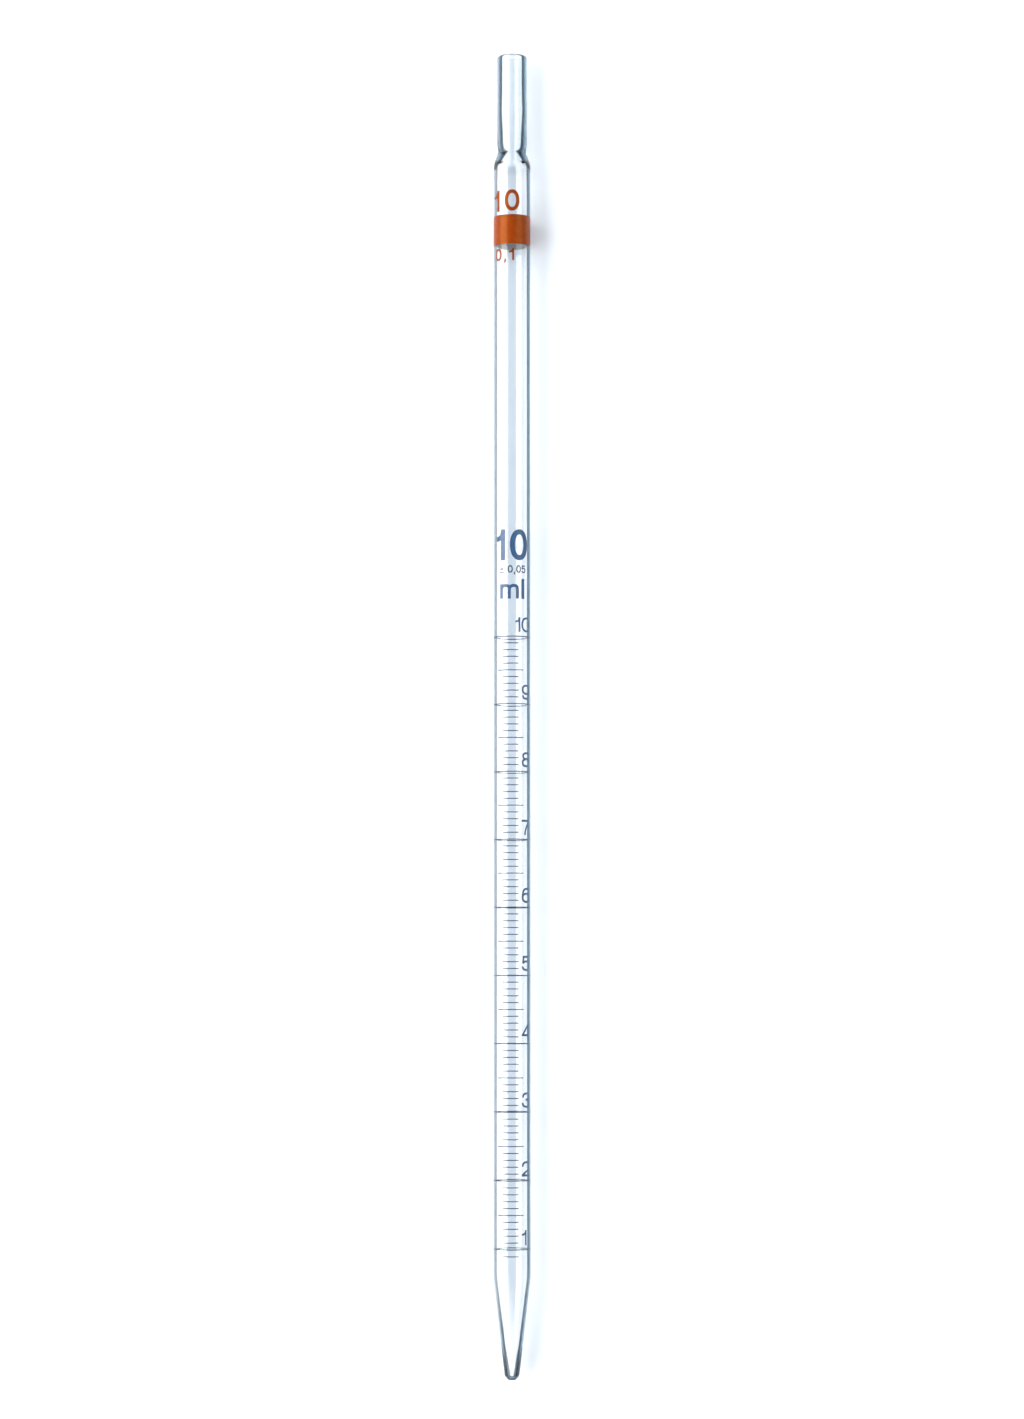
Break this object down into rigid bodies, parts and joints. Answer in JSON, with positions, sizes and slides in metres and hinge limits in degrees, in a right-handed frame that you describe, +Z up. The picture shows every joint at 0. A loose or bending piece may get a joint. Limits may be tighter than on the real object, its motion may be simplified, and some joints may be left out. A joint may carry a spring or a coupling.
{
  "type": "graduated glass pipette",
  "caption": "Slender glass measuring pipette: graduated barrel with fired enamel scale and colour band, conical delivery tip, waisted mouthpiece for a filler and a cotton plug.",
  "frame": {"origin": "on the surface the pipette lies on, under the middle of its length and of its width", "axes": "+Y along the tube from the delivery tip to the mouthpiece, +Z up through the middle of the scale, +X to the right of someone reading the scale with the mouthpiece at the top"},
  "size_m": [0.01, 0.36, 0.0101],
  "materials": {
    "glass": "clear drawn soda-lime glass, fire-polished, faint blue-green in the thick edges",
    "scale_enamel": "dark blue enamel fired onto the glass, glossy",
    "colour_enamel": "orange-brown enamel fired onto the glass, glossy with a fine grain"
  },
  "bodies": {
    "root": {"glass_tube": "glass", "ring_marks": "scale_enamel", "half_marks": "scale_enamel", "tick_marks": "scale_enamel", "colour_band": "colour_enamel"}
  },
  "joints": []
}
